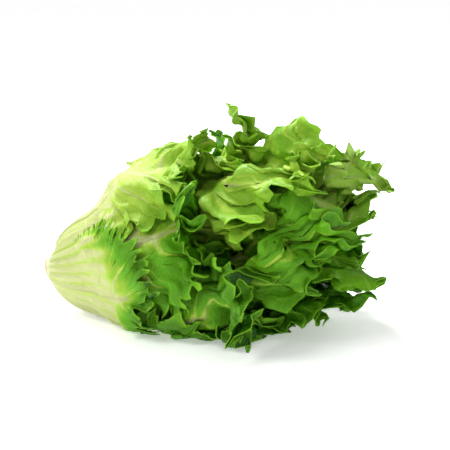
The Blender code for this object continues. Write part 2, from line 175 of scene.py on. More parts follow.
# %% [markdown]
# ## Where each leaf stands
#
# Lettuce puts out each new leaf about 137.5 degrees round from the last one, the
# golden angle, which is why no leaf hides exactly behind another. Each leaf also has
# its own length, twist, lean and curl, drawn from a seeded generator: the head looks
# grown, and yet it comes out the same each time.

# %% The leaves of the spiral
SEED = 41
GOLDEN_ANGLE = math.radians(137.50776)
FIRST_LEAF_ANGLE = math.radians(101)
OUTERMOST, INNERMOST = 0.70, 0.03
LEAF_LENGTHS = (0.188, 0.214, 0.246, 0.272, 0.268, 0.215)
OWN_SHAPES = {              # leaf: length, flop outwards
    2: (1.12, 0.18), 3: (1.08, 0.10), 4: (1.05, 0.16), 6: (1.0, 0.15), 7: (1.09, 0.14),
    8: (1.05, 0.12), 9: (1.06, 0.16), 10: (1.06, 0.05), 11: (0.98, 0.20), 16: (1.04, 0.15),
}
LENGTHS_VARY = (0.95, 1.05)
TWIST = 0.16
LEAN = (0.5, 0.010)
CURL = (0.3, 1.0, 0.017)
SMALLEST_LEAF = 0.55
FULL_SIZE_AT = 0.45
FRILLED_FROM = 0.22
BLADE_LATER = {              # leaf: metres by which its pale foot is longer
    0: 0.036, 1: 0.015, 2: 0.012, 3: 0.028, 5: 0.020, 7: 0.012, 8: 0.015,
}
PACE_WANDER = (0.9, 2.7)
HEIGHT_WANDER = ((0.22, 3.7), (0.12, 1.7))
MEAN_HEIGHT = 0.78
FINE_BANDS = 4              # more sizes of wave than the solids have


class Leaf:
    """One leaf's place in the spiral, its size, and the seeded phases of its waves."""

    def __init__(self, index):
        draw = np.random.RandomState(SEED + index)
        self.index = index
        self.openness = mix((OUTERMOST, INNERMOST), index / (LEAF_COUNT - 1))
        self.angle = FIRST_LEAF_ANGLE + index * GOLDEN_ANGLE
        known = np.linspace(0, LEAF_COUNT - 1, len(LEAF_LENGTHS))
        self.length = np.interp(index, known, LEAF_LENGTHS) * draw.uniform(*LENGTHS_VARY)
        self.twist = draw.uniform(-TWIST, TWIST)
        self.lean = draw.uniform(-LEAN[0], LEAN[0])
        self.curl = draw.uniform(*CURL[:2])
        self.phases = list(draw.uniform(0, 2 * math.pi, (2, 4)))
        self.phases += list(draw.uniform(0, 2 * math.pi, (FINE_BANDS, 4)))
        own = OWN_SHAPES.get(index, (1.0, 0.0))
        self.length *= own[0]
        self.flop = own[1]
        self.size = mix((SMALLEST_LEAF, 1), smoothstep(self.openness / FULL_SIZE_AT))
        self.frilled = smoothstep(self.openness / FRILLED_FROM)
        self.later = BLADE_LATER.get(index, 0.0)

    def waves(self, band, distance, wavelength):
        """A wave along the margin whose pace and height wander: (height, phase)."""
        own = self.phases[band]
        turn = 2 * math.pi * distance / wavelength
        phase = turn + PACE_WANDER[0] * np.sin(turn / PACE_WANDER[1] + own[0]) + own[1]
        height = MEAN_HEIGHT
        for (share, waves), start in zip(HEIGHT_WANDER, own[2:]):
            height = height + share * np.sin(turn / waves + start)
        return height * np.sin(phase), phase


leaves = [Leaf(index) for index in range(LEAF_COUNT)]
print("leaf lengths in mm", [round(leaf.length * 1000) for leaf in leaves])


# %% [markdown]
# ## The shape of one leaf, frills and teeth
#
# The margin of a curled lettuce leaf grows longer than the blade behind it, and it
# has to go somewhere, so it ripples. The real margin has ripples on ripples: broad
# ones the width of two fingers, then frills, then crinkles, and at last small teeth.
# A displacement texture could fake them, but only up and down, while a real frill
# folds over itself. Here each size of wave is a sine whose sides also lean over.
#
# A point of the leaf is known by two numbers: q is 0 on the rib and 1 at the margin,
# and mark tells which side vein it lies on.

# %% Outline, ribs and waves of a leaf
WIDEST_AT = 0.70
WIDE_MARK = 0.60
ROOT_END = 0.90
BASE_HALF_ANGLE = math.radians(46)
WAIST_HALF_ANGLE = math.radians(48)
TOP_HALF_ANGLE = math.radians(44)
WAIST_MARK = 0.22
TOP_MARKS = (0.20, 0.60)
VEIN_BOW = 0.25
RISE_ALONG = (0.120, 0.230)
HALF_MARGIN = 0.370
LEAST_OPEN = 0.004
LEAST_RADIUS = 0.02
FRILL_MARKS = (0.16, 0.46)
FRILL_ALONG = (0.105, 0.155)
WIDE_WAVE = (0.058, 0.0170)
WIDE_WAVE_POWER = 1.6
FRILL_WAVE = (0.0240, 0.0110)
FRILL_DEPTH = 0.14
FRILL_LEAN = 0.6
# More waves than the solids have: wavelength, height, q where it starts, sideways lean
FINE_WAVES = ((0.0155, 0.0056, 0.58, 0.34), (0.0085, 0.0021, 0.78, 0.24))
LOBES = (0.0135, 0.0044)    # along the margin: how far apart, and how deep
TEETH = (0.0060, 0.0026)
TEETH_MARKS = (0.18, 0.45)
TEETH_POWER = 8             # of q: the teeth stay at the very margin


def chart(leaf, mark, q, fine=False):
    """Where a point of the leaf lies: (along, around, openness)."""
    m = 1 - np.abs(mark)
    side = np.sign(mark)
    wide_along = WIDEST_AT * leaf.length
    turn = np.clip((m - WIDE_MARK) / (1 - WIDE_MARK), 0, 1) * math.pi / 2
    edge_along = np.where(
        m < WIDE_MARK,
        wide_along * m / WIDE_MARK,
        wide_along + (leaf.length - wide_along) * np.sin(turn),
    )
    half = BASE_HALF_ANGLE + (WAIST_HALF_ANGLE - BASE_HALF_ANGLE) * smoothstep(m / WAIST_MARK)
    half = half + (TOP_HALF_ANGLE - WAIST_HALF_ANGLE) * ramp(m, TOP_MARKS)
    root = ROOT_END * leaf.length * m
    along = root + (edge_along - root) * q * (1 - VEIN_BOW + VEIN_BOW * q)
    around = side * half * np.cos(turn) * q

    frill = ramp(m, FRILL_MARKS) * ramp(edge_along - leaf.later, FRILL_ALONG) * leaf.size
    distance = mark * HALF_MARGIN * leaf.size
    wide, _ = leaf.waves(0, distance, WIDE_WAVE[0])
    frilled, phase = leaf.waves(1, distance, FRILL_WAVE[0])
    near_edge = ramp(q, (FRILL_DEPTH, 1))
    raised = WIDE_WAVE[1] * wide * q**WIDE_WAVE_POWER + FRILL_WAVE[1] * frilled * near_edge
    shift = -FRILL_LEAN * FRILL_WAVE[0] / (2 * math.pi) * np.sin(2 * phase) * near_edge * frill
    out = np.zeros_like(shift)
    if fine:
        for band, (wavelength, height, start, lean) in enumerate(FINE_WAVES, 2):
            wave, phase = leaf.waves(band, distance, wavelength)
            near = ramp(q, (start, 1))
            raised = raised + height * wave * near
            shift = shift - lean * wavelength / (2 * math.pi) * np.sin(2 * phase) * near * frill
        for band, (wavelength, depth) in enumerate((LOBES, TEETH), 4):
            wave, _ = leaf.waves(band, distance, wavelength)
            out = out + depth * wave * q**TEETH_POWER * ramp(m, TEETH_MARKS) * leaf.size
    towards_tip = ramp(m, (WIDE_MARK, 1))
    radius = PROFILES.read(PROFILES.r, along, np.full(along.shape, leaf.openness))
    radius = np.maximum(radius, LEAST_RADIUS)
    along = along - np.abs(side) * shift * (1 - towards_tip) * side + out * towards_tip
    around = around + (shift * towards_tip + side * out * (1 - towards_tip)) / radius

    rise = ramp(along - leaf.later, RISE_ALONG)
    raised = raised * frill * leaf.frilled
    raised = raised + (leaf.curl * CURL[2] * q + leaf.lean * LEAN[1] * side) * q * rise
    spread = PROFILES.read(PROFILES.spread, along, np.full(along.shape, leaf.openness))
    openness = leaf.openness + leaf.flop * rise**2 + raised / spread
    return along, leaf.angle + leaf.twist * rise + around, np.maximum(openness, LEAST_OPEN)


print("frills on each side of a large leaf: about", round(HALF_MARGIN / FRILL_WAVE[0]))


# %% [markdown]
# ## From the head's own coordinates to the table
#
# Three more things shape a real head. Its blades are crumpled in all directions, its
# weight folds in the leaves under it, and the table presses them flat. The crumpling
# is a set of sideways slides of the whole space, each by a sine of the position
# across it: all leaves move together, so the crumpling pushes none of them through its
# neighbour, which would soon happen if each one got its own noise.

# %% Crumple, lay down and press
AXIS_HEIGHT = 0.041
AXIS_TILT = math.radians(10.5)
# Wavelength and slide of each
SHEAR_WAVES = (
    (0.120, 0.0100), (0.090, 0.0090), (0.072, 0.0080), (0.060, 0.0070), (0.052, 0.0060),
)
FINE_SHEARS = (
    (0.040, 0.0052), (0.031, 0.0044), (0.024, 0.0036), (0.018, 0.0024), (0.013, 0.0012),
)
RUFFLES_ALONG = (0.085, 0.175)
TABLE_SOFTNESS = 0.016
SQUASH = 0.40
SQUASH_ALONG = (0.02, 0.19)


def shears(waves, seed):
    """Sideways slides of the whole space, each along its own wave front."""
    draw = np.random.RandomState(seed)
    made = []
    for wavelength, slide in waves:
        front = draw.normal(size=3)
        front /= np.linalg.norm(front)
        way = np.cross(front, draw.normal(size=3))
        way /= np.linalg.norm(way)
        made.append((front * 2 * math.pi / wavelength, way * slide, draw.uniform(0, 2 * math.pi)))
    return made


SHEARS = shears(SHEAR_WAVES, SEED)
CRUMPLES = shears(FINE_SHEARS, SEED + 1)
print("slides of the whole space:", len(SHEARS), "broad,", len(CRUMPLES), "fine")


def squashed(along, around):
    """The share of its openness that a leaf keeps: less under the head, on the table."""
    under = np.maximum(-np.cos(around), 0) ** 3
    return 1 - SQUASH * under * ramp(along, SQUASH_ALONG)


def settle(p):
    """Turns a point from the head's own axes to where it lies, pressed to the table."""
    cos_tilt, sin_tilt = math.cos(AXIS_TILT), math.sin(AXIS_TILT)
    height = AXIS_HEIGHT + p[..., 0] * sin_tilt + p[..., 2] * cos_tilt
    pressed = TABLE_SOFTNESS * np.exp(np.minimum(height / TABLE_SOFTNESS - 1, 0))
    height = np.where(height < TABLE_SOFTNESS, pressed, height)
    return np.stack([p[..., 0] * cos_tilt - p[..., 2] * sin_tilt, -p[..., 1], height], axis=-1)


def place(along, around, openness, fine=False):
    """Places of points given by their three head coordinates."""
    openness = openness * squashed(along, around)
    x = PROFILES.read(PROFILES.x, along, openness)
    r = PROFILES.read(PROFILES.r, along, openness)
    p = np.stack([x, r * np.sin(around), r * np.cos(around)], axis=-1)
    for front, way, phase in SHEARS + (CRUMPLES if fine else []):
        ruffled = ramp(p[..., 0], RUFFLES_ALONG)
        p = p + (ruffled * np.sin(p @ front + phase))[..., None] * way
    return settle(p)


# %% [markdown]
# ## Laying each leaf on those inside it
#
# The waves of one leaf would still poke through the next. A florist who rebuilt the
# head would start with the heart and lay leaf on leaf, and each would rise where
# there is something under it. The same is done here: a chart of the outermost face so
# far is kept, and each new leaf is lifted, softly, wherever it would be lower. The
# chart has cells of a few millimetres, so some of the finest frills still cut a little
# into each other, mostly deep between the leaves.

# %% Drape the leaves from the heart outwards
BLADE = 0.0008
RIB_THICKNESS = 0.0034
RIB_FADE = 0.060
FLESH_AT_MARGIN = 0.2
RIB_LINE = (0.0014, 0.12, 0.2)
INNER_FACE = 0.0004
LEAST_GAP = (0.0012, 0.0022)
GAP_ALONG = (0.10, 0.18)
ROOM_STEPS = (0.0005, 0.01, 0.004)
LEAST_ROOM = 0.008


def thickness(leaf, along, q):
    """Of the blade: fleshy at the base, with the rib along its middle."""
    height, run, width = RIB_LINE
    flesh = (RIB_THICKNESS * leaf.size - BLADE) * np.exp(-((along / RIB_FADE) ** 1.5))
    rib = height * leaf.size * np.exp(-along / run) * np.exp(-((q / width) ** 2))
    return BLADE + flesh * mix((1, FLESH_AT_MARGIN), q**2) + rib


def room(along, around, openness):
    """How far apart layers lie there, in metres for each unit of openness."""
    coordinates = np.stack([along, around, openness])
    ways = []
    for axis, step in enumerate(ROOM_STEPS):
        nudge = np.zeros((3,) + (1,) * np.ndim(along))
        nudge[axis] = step
        ways.append((place(*(coordinates + nudge)) - place(*(coordinates - nudge))) / (2 * step))
    normal = np.cross(ways[0], ways[1])
    normal /= np.linalg.norm(normal, axis=-1, keepdims=True) + 1e-12
    return np.maximum(np.abs(np.sum(normal * ways[2], axis=-1)), LEAST_ROOM)


class Drape:
    """The outermost face laid so far, on a grid of along and around."""

    ROWS, COLUMNS = 105, 150
    ROW = PROFILE_LENGTH / ROWS
    COLUMN = 2 * math.pi / COLUMNS
    REACH = 10                  # cells that a lift spreads to
    FADE = 0.90
    SAMPLES = (641, 61)         # how many marks and values of q of each leaf are laid

    def __init__(self):
        self.top = np.full((self.ROWS + 1, self.COLUMNS), -1.0)
        samples = np.linspace(-1, 1, self.SAMPLES[0]), np.linspace(0, 1, self.SAMPLES[1])
        marks, q = np.meshgrid(*samples)
        self.marks, self.q = marks.ravel(), q.ravel()

    def cells(self, along, around):
        i = np.clip(np.rint(along / self.ROW).astype(int), 0, self.ROWS)
        return i, np.rint(around / self.COLUMN).astype(int) % self.COLUMNS

    def spread_out(self, field, fade):
        """Each cell takes its neighbours' greatest value, times fade, if that is more."""
        for axis in (0, 1):
            near = np.maximum(np.roll(field, 1, axis), np.roll(field, -1, axis))
            field = np.maximum(field, fade * near)
        return field

    def soften(self, field):
        for axis in (0, 1, 0, 1):
            field = (np.roll(field, 1, axis) + 2 * field + np.roll(field, -1, axis)) / 4
        return field

    def cover(self, leaf):
        """Lays a leaf on what is there already: the chart of how far it has to rise."""
        along, around, openness = chart(leaf, self.marks, self.q, fine=True)
        cells = self.cells(along, around)
        least = self.spread_out(self.top, 1.0)[cells]
        lift = np.zeros(self.top.shape)
        for _ in range(3):
            now = openness + self.read(lift, along, around)
            metres = room(along, around, now)
            gap = mix(LEAST_GAP, ramp(along, GAP_ALONG))
            short = np.zeros(self.top.shape)
            np.maximum.at(short, cells, np.maximum(least + gap / metres - now, 0))
            for _ in range(self.REACH):
                short = self.spread_out(short, self.FADE)
            lift = lift + self.soften(short)
        now = openness + self.read(lift, along, around)
        outer = (thickness(leaf, along, self.q) - INNER_FACE) / metres
        np.maximum.at(self.top, cells, now + outer)
        return lift

    def read(self, field, along, around):
        i = np.clip(along / self.ROW, 0, self.ROWS - 0.001)
        j = around / self.COLUMN
        i0, j0 = i.astype(int), np.floor(j).astype(int)
        u, v = i - i0, j - j0
        j0, j1 = j0 % self.COLUMNS, (j0 + 1) % self.COLUMNS
        near = field[i0, j0] * (1 - v) + field[i0, j1] * v
        far = field[i0 + 1, j0] * (1 - v) + field[i0 + 1, j1] * v
        return near * (1 - u) + far * u


drape = Drape()
lifts = {leaf.index: drape.cover(leaf) for leaf in reversed(leaves)}
print("greatest lift of a leaf", round(max(float(lift.max()) for lift in lifts.values()), 2))


# %% [markdown]
# ## A leaf's mesh
#
# The mesh follows the leaf's own anatomy: rings run from the rib out to the margin,
# and lines run along the side veins. The frill needs many points and the quiet blade
# beside the rib needs few, so rings near the rib have half or a quarter as many. Both
# faces of the blade are made, a real thickness apart, with a strip round the rim,
# because a leaf with no thickness would show no cut edge and throw a paper shadow.

# %% Rings of points and the faces between them
LARGE_RINGS = (
    (0.0, 40), (0.07, 40), (0.14, 40), (0.22, 80), (0.30, 80), (0.38, 80), (0.46, 80),
    (0.53, 160), (0.60, 160), (0.66, 160), (0.71, 160), (0.755, 160), (0.795, 160),
    (0.83, 320), (0.862, 320), (0.89, 320), (0.915, 320), (0.938, 320), (0.958, 320),
    (0.975, 320), (0.989, 320), (1.0, 320),
)
HEART_RINGS = (
    (0.0, 24), (0.15, 24), (0.30, 48), (0.45, 48), (0.60, 48), (0.72, 96), (0.81, 96),
    (0.88, 96), (0.94, 96), (0.98, 96), (1.0, 96),
)
HEART_FROM = 14             # the index of the first heart leaf
MARK_CROWDING = 0.85        # below 1, points lie closer towards the base


def grid(rings):
    """Marks and q of a leaf's mesh points, its faces, and its rim, in order."""
    marks, qs, lines = [], [], []
    for q, count in rings:
        m = (np.arange(count + 1) / count) ** MARK_CROWDING
        first = len(marks)
        if q == 0:
            marks.extend(m - 1)
            lines.append(list(range(count + 1)) + list(range(count - 1, -1, -1)))
        else:
            line = np.concatenate([m - 1, (1 - m[:-1])[::-1]])
            marks.extend(line)
            lines.append(list(range(first, first + len(line))))
        qs.extend([q] * (len(marks) - first))
    faces = []
    for inner, outer in zip(lines, lines[1:]):
        halved = len(outer) > len(inner)
        for j in range(len(inner) - 1):
            a, b = inner[j], inner[j + 1]
            if halved:
                c, d, e = outer[2 * j + 2], outer[2 * j + 1], outer[2 * j]
                faces += [(a, b, d), (b, c, d), (a, d, e)]
            else:
                faces.append((a, b, outer[j + 1], outer[j]))
    rim = lines[-1] + [line[-1] for line in lines[-2:0:-1]] + [lines[0][0]]
    rim += [line[0] for line in lines[1:-1]]
    return np.array(marks), np.array(qs), faces, rim


def point_normals(points, faces):
    """Mean directions that the faces round each point look in."""
    threes = [face[:3] for face in faces]
    threes = np.array(threes + [face[2:] + face[:1] for face in faces if len(face) == 4])
    corners = points[threes]
    across = np.cross(corners[:, 1] - corners[:, 0], corners[:, 2] - corners[:, 0])
    normals = np.zeros_like(points)
    for k in range(3):
        np.add.at(normals, threes[:, k], across)
    return normals / np.maximum(np.linalg.norm(normals, axis=1, keepdims=True), 1e-12)


large_grid, heart_grid = grid(LARGE_RINGS), grid(HEART_RINGS)
print("points on one face of a leaf:", len(large_grid[0]), "large,", len(heart_grid[0]), "heart")


# %% [markdown]
# ## Swollen veins and puckers
#
# Near the foot the veins of a lettuce leaf stand out like the ribs of a fan, thick as
# cord, and further up the blade swells between its side veins into soft puckers. A
# bump texture alone goes flat at the silhouette and leaves the shadows out, so the
# larger ones are real relief. The puckers come from a few crossed sines, which have a
# known size, unlike a noise whose lumps come in all sizes.

# %% Relief of a leaf
FAN = (0.17, 0.0020, 0.018, 0.170)   # angle between two veins, height, where it starts and ends
FAN_WANDER = (0.5, 0.013)            # how much the ribs bend, and over what length
SIDE_VEINS = (9, 0.0007)             # how many on each side, and how high
SIDE_VEIN_MIDDLE = 0.6               # the level that is neither groove nor swelling
SIDE_VEINS_FROM = ((0.02, 0.2), (0.04, 0.10))   # in q, and along the leaf
PUCKERS = ((0.0160, 0.0010), (0.0115, 0.0008), (0.0085, 0.0005))
PUCKER_DIRECTIONS = 3
PUCKERED_FROM = (0.07, 0.14)
LEAST_THICKNESS = 0.0003             # of the outer half of the blade


def fan_of_ribs(leaf, around, along):
    """Ribs that spread from the foot of the leaf, from -0.5 between them to 0.5 on them."""
    step, _, start, end = FAN
    wander = FAN_WANDER[0] * np.sin(along / FAN_WANDER[1] + leaf.phases[0][0])
    ribs = np.cos(2 * math.pi * (around - leaf.angle) / step + wander)
    ribs = smoothstep(0.5 + 0.5 * ribs) - 0.5
    return ribs * ramp(along, (start * 0.3, start)) * (1 - ramp(along, (end * 0.5, end)))


def side_vein_relief(mark, q, along):
    """Grooves over the side veins, with the blade swollen between them."""
    count, height = SIDE_VEINS
    wave = np.abs(np.sin(math.pi * count * (1 - np.abs(mark))))
    shown = ramp(q, SIDE_VEINS_FROM[0]) * ramp(along, SIDE_VEINS_FROM[1])
    return height * (np.sqrt(wave) - SIDE_VEIN_MIDDLE) * shown


def pucker_relief(points, seed):
    draw = np.random.RandomState(seed)
    total = np.zeros(len(points))
    for wavelength, height in PUCKERS:
        for _ in range(PUCKER_DIRECTIONS):
            front = draw.normal(size=3)
            front *= 2 * math.pi / wavelength / np.linalg.norm(front)
            start = draw.uniform(0, 2 * math.pi)
            total += height / PUCKER_DIRECTIONS * np.sin(points @ front + start)
    return total


print("highest pucker", round(sum(height for _, height in PUCKERS) * 1000, 1), "mm")


# %% [markdown]
# ## Building a leaf
#
# Each leaf becomes one closed mesh. With its points go two small tables that the
# materials read later: where a point is on the leaf, and what the tissue is like
# there (how green, whether it is the glossy upper side or the dull underside, and
# whether one of the ribs of the foot runs there). Storing them with the mesh, and not
# in an image, keeps the finish sharp from near by.

# %% Make the leaf pieces
GREEN_ALONG = (0.050, 0.190)    # metres from the foot: from white to full green
RIB_STAYS_PALE = (0.5, 0.10, 0.16, 0.26)   # how much, its width in q, and where it ends
MARGIN_GREENS = 0.42            # how much greener the margin is than the rib
RIB_CATCHES_UP = (0.12, 0.22)   # where the rib gets as green as the margin
MARGIN_AHEAD = (0.030, 0.02, 0.08)   # metres that the margin is ahead, and where that starts
HEART_GREEN = 0.62
YOUNG = (0.16, 0.55)            # openness: the heart leaves stay light green
# Painted backlight: leaves on the upper side of the head are painted paler and less green, as they
# look where the light from above and behind shines through them.
PAINTED_BACKLIGHT_ABOVE = 0.58            # leaves on the upper side of the head are less green


def greenness(leaf, along, q):
    along = np.maximum(along - leaf.later, 0)
    pale, width, start, end = RIB_STAYS_PALE
    ahead = MARGIN_AHEAD[0] * q**2 * ramp(along, MARGIN_AHEAD[1:])
    green = ramp(along + ahead, GREEN_ALONG)
    catching_up = MARGIN_GREENS * (1 - q**1.5) * ramp(along, RIB_CATCHES_UP)
    green = green * mix((1 - MARGIN_GREENS, 1), q**1.5) + catching_up
    rib = pale * np.exp(-((q / width) ** 2)) * (1 - ramp(along, (start, end)))
    # Painted backlight: the higher a leaf stands on the head, the less green its colour is
    # painted.
    own = 1 - PAINTED_BACKLIGHT_ABOVE * max(math.cos(leaf.angle), 0)
    return np.clip(green - rib, 0, 1) * mix((HEART_GREEN, 1.0), ramp(leaf.openness, YOUNG)) * own


def leaf_mesh(leaf, origin):
    marks, q, faces, rim = heart_grid if leaf.index >= HEART_FROM else large_grid
    along, around, openness = chart(leaf, marks, q, fine=True)
    openness = openness + drape.read(lifts[leaf.index], along, around)
    middle = place(along, around, openness, fine=True)
    normals = point_normals(middle, faces)
    relief = pucker_relief(middle, SEED + leaf.index) * ramp(along, PUCKERED_FROM)
    relief = relief + side_vein_relief(marks, q, along)
    middle = middle + normals * relief[:, None]
    ribs = fan_of_ribs(leaf, around, along)
    thick = thickness(leaf, along, q) + FAN[1] * ribs
    inner = middle - normals * INNER_FACE
    outer = middle + normals * np.maximum(thick - INNER_FACE, LEAST_THICKNESS)[:, None]
    points = np.concatenate([inner, outer]) - origin
    points[:, 2] = np.maximum(points[:, 2], 0.0)
    count = len(middle)
    solid = [face[::-1] for face in faces]
    solid += [tuple(corner + count for corner in face) for face in faces]
    solid += [(a, b, b + count, a + count) for a, b in zip(rim, rim[1:] + rim[:1])]
    place_on_leaf = np.stack([marks, q, along], axis=1)
    green = greenness(leaf, along, q)
    tone = np.stack([green, np.zeros(count), ribs + 0.5], axis=1)
    under = tone.copy()
    under[:, 1] = 1.0
    return points, solid, np.concatenate([place_on_leaf] * 2), np.concatenate([tone, under])


def make_piece(name, points, faces):
    mesh = bpy.data.meshes.new(name)
    mesh.from_pydata(points.tolist(), [], faces)
    mesh.shade_smooth()
    made = bpy.data.objects.new(name, mesh)
    bpy.context.scene.collection.objects.link(made)
    return made


def store(mesh, name, values):
    table = mesh.attributes.new(name, "FLOAT_VECTOR", "POINT")
    table.data.foreach_set("vector", values.astype(np.float32).ravel())


# The head's own axes start at the cut face, and the row frame under the middle
stem_low, stem_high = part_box("stem")
cut_face = settle(np.array([[-STEM_PROUD, 0.0, -STEM_RADIUS], [-STEM_PROUD, 0.0, STEM_RADIUS]]))
origin = np.array([
    cut_face[:, 0].min() - stem_low.x,
    -(stem_low.y + stem_high.y) / 2,
    AXIS_HEIGHT - STEM_RADIUS * math.cos(AXIS_TILT) - stem_low.z,
])
leaf_pieces = []
triangles = 0
for leaf in leaves:
    points, solid, place_on_leaf, tone = leaf_mesh(leaf, origin)
    node = f"leaf_{leaf.index + 1:02d}"
    piece = make_piece("curled_" + node, points, solid)
    store(piece.data, "leaf_place", place_on_leaf)
    store(piece.data, "leaf_tone", tone)
    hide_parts(node)
    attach(piece, "root")
    leaf_pieces.append(piece)
    triangles += sum(len(face) - 2 for face in solid)
print("leaves have", triangles, "triangles")


# %% [markdown]
# ## The stem
#
# The stem is turned: a profile of radii along the axis, spun round. Its cut face is
# moist and slightly domed, with the ring of the rind and a softer pith in the middle,
# and the cut edge has already begun to turn pinkish brown.

# %% Turn the stem
STEM_SIDES = 72
CUT_BEVEL = 0.0008
PITH_RADIUS = 0.006
STEM_PROFILE = (            # along the axis, radius
    (-STEM_PROUD, 0.0002), (-STEM_PROUD, PITH_RADIUS * 0.5), (-STEM_PROUD, PITH_RADIUS),
    (-STEM_PROUD + 0.0003, PITH_RADIUS + 0.0007), (-STEM_PROUD, PITH_RADIUS + 0.0014),
    (-STEM_PROUD, STEM_RADIUS - CUT_BEVEL),
    (-STEM_PROUD + CUT_BEVEL * 0.4, STEM_RADIUS - CUT_BEVEL * 0.2),
    (-STEM_PROUD + CUT_BEVEL, STEM_RADIUS), (STEM_LENGTH * FIRST_SEAT, STEM_RADIUS),
    (STEM_LENGTH * 0.4, mix((STEM_RADIUS, STEM_TIP_RADIUS), 0.36)),
    (STEM_LENGTH, STEM_TIP_RADIUS), (STEM_LENGTH + CUT_BEVEL * 0.8, 0.0002),
)
turn = np.arange(STEM_SIDES) * 2 * math.pi / STEM_SIDES
rings = [
    np.stack([np.full(STEM_SIDES, x), r * np.sin(turn), r * np.cos(turn)], axis=1)
    for x, r in STEM_PROFILE
]
stem_points = settle(np.concatenate(rings)) - origin
stem_faces = [tuple(range(STEM_SIDES))]
for ring in range(len(STEM_PROFILE) - 1):
    for side in range(STEM_SIDES):
        here, there = ring * STEM_SIDES + side, ring * STEM_SIDES + (side + 1) % STEM_SIDES
        stem_faces.append((there, here, here + STEM_SIDES, there + STEM_SIDES))
last_ring = (len(STEM_PROFILE) - 1) * STEM_SIDES
stem_faces.append(tuple(last_ring + side for side in reversed(range(STEM_SIDES))))
stem = make_piece("turned_stem", stem_points, stem_faces)
across_stem = np.concatenate([np.full(STEM_SIDES, r) for _, r in STEM_PROFILE]) / STEM_RADIUS
along_stem = np.concatenate([np.full(STEM_SIDES, x + STEM_PROUD) for x, _ in STEM_PROFILE])
store(stem.data, "stem_place", np.stack([across_stem, along_stem, along_stem * 0], axis=1))
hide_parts("stem")
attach(stem, "root")
print("stem reaches", [round(value, 3) for value in stem_points.max(axis=0)])


# %% [markdown]
# ## Leaf tissue, as shader node groups
#
# Three finishes share the same anatomy and differ only in their values, so the anatomy
# is built once, as three node groups: the veins, the colour and the fine relief. Each
# needs dozens of nodes. A small tool adds one node a line, and an input of it may be a
# plain value or the output of another node.

# %% Small tools for wiring nodes
def new_group(name, inputs, outputs):
    """A shader node group with named sockets: inputs are (name, kind, value)."""
    group = bpy.data.node_groups.new(name, "ShaderNodeTree")
    for label, kind, value in inputs:
        socket = group.interface.new_socket(label, in_out="INPUT", socket_type="NodeSocket" + kind)
        if value is not None:
            socket.default_value = value
    for label, kind in outputs:
        group.interface.new_socket(label, in_out="OUTPUT", socket_type="NodeSocket" + kind)
    start, end = group.nodes.new("NodeGroupInput"), group.nodes.new("NodeGroupOutput")
    return group, start.outputs, end.inputs


class Wiring:
    """Adds nodes to one tree. An input may be a value or another node's output."""

    def __init__(self, tree):
        self.tree = tree

    def add(self, kind, inputs, **settings):
        node = self.tree.nodes.new("ShaderNode" + kind)
        for key, value in settings.items():
            setattr(node, key, value)
        for key, value in inputs.items():
            if isinstance(value, bpy.types.NodeSocket):
                self.tree.links.new(value, node.inputs[key])
            else:
                node.inputs[key].default_value = value
        return node

    def math(self, operation, *values):
        node = self.add("Math", dict(enumerate(values)), operation=operation)
        return node.outputs[0]

    def ramp(self, value, low, high, to_low=0.0, to_high=1.0):
        inputs = {"Value": value, "From Min": low, "From Max": high}
        inputs.update({"To Min": to_low, "To Max": to_high})
        return self.add("MapRange", inputs, interpolation_type="SMOOTHSTEP").outputs[0]

    def blend(self, factor, one, other, mode="MIX"):
        node = self.add("Mix", {0: factor, 6: one, 7: other}, data_type="RGBA", blend_type=mode)
        return node.outputs[2]

    def noise(self, vector, scale, detail=2.0, roughness=0.5):
        inputs = {"Vector": vector, "Scale": scale, "Detail": detail, "Roughness": roughness}
        return self.add("TexNoise", inputs).outputs["Fac"]

    def parts(self, vector):
        return self.add("SeparateXYZ", {0: vector}).outputs

    def attribute(self, name):
        node = self.add("Attribute", {}, attribute_name=name, attribute_type="GEOMETRY")
        return node.outputs["Vector"]

    def position(self):
        return self.add("TexCoord", {}).outputs["Object"]


def colour(red, green, blue):
    return (red, green, blue, 1.0)


print("an opaque white is", colour(1.0, 1.0, 1.0))


# %% [markdown]
# ## Where the veins run
#
# Side veins leave the rib at even distances, and twigs leave those. They could be
# painted as an image, but the stored place already says how far along the rib a point
# lies. A fraction of it repeats the veins, noise lets them wander, and the finest net
# is the edges of small cells.

# %% Veins: a mask of the rib and its side veins
group, given, put_out = new_group(
    "Leaf veins",
    [
        ("Place", "Vector", None), ("Position", "Vector", None), ("Side Veins", "Float", 9.0),
        ("Rib Width", "Float", 0.05), ("Vein Width", "Float", 0.16), ("Wander", "Float", 0.035),
    ],
    [("Veins", "Float"), ("Net", "Float")],
)
wire = Wiring(group)
mark, q, _ = wire.parts(given["Place"])
height = wire.math("SUBTRACT", 1.0, wire.math("ABSOLUTE", mark))
drift = wire.math("SUBTRACT", wire.noise(given["Position"], 38.0), 0.5)
drift = wire.math("MULTIPLY", drift, given["Wander"])
height = wire.math("ADD", height, drift)
line = wire.math("FRACT", wire.math("MULTIPLY", height, given["Side Veins"]))
off_line = wire.math("ABSOLUTE", wire.math("SUBTRACT", line, 0.5))
width = wire.ramp(q, 0.0, 1.0, given["Vein Width"], 0.03)
side_vein = wire.math("SUBTRACT", 1.0, wire.ramp(off_line, 0.0, width))
side_vein = wire.math("MULTIPLY", side_vein, wire.ramp(q, 1.0, 0.55, 0.25, 1.0))
twigs = wire.math("MULTIPLY", given["Side Veins"], 4.0)
twig_line = wire.math("FRACT", wire.math("MULTIPLY", height, twigs))
off_twig = wire.math("ABSOLUTE", wire.math("SUBTRACT", twig_line, 0.5))
twig = wire.math("MULTIPLY", wire.ramp(off_twig, 0.14, 0.0), wire.ramp(q, 0.25, 0.6, 0.0, 0.45))
rib = wire.ramp(q, given["Rib Width"], 0.0)
veins = wire.math("MAXIMUM", wire.math("MAXIMUM", side_vein, twig), rib)
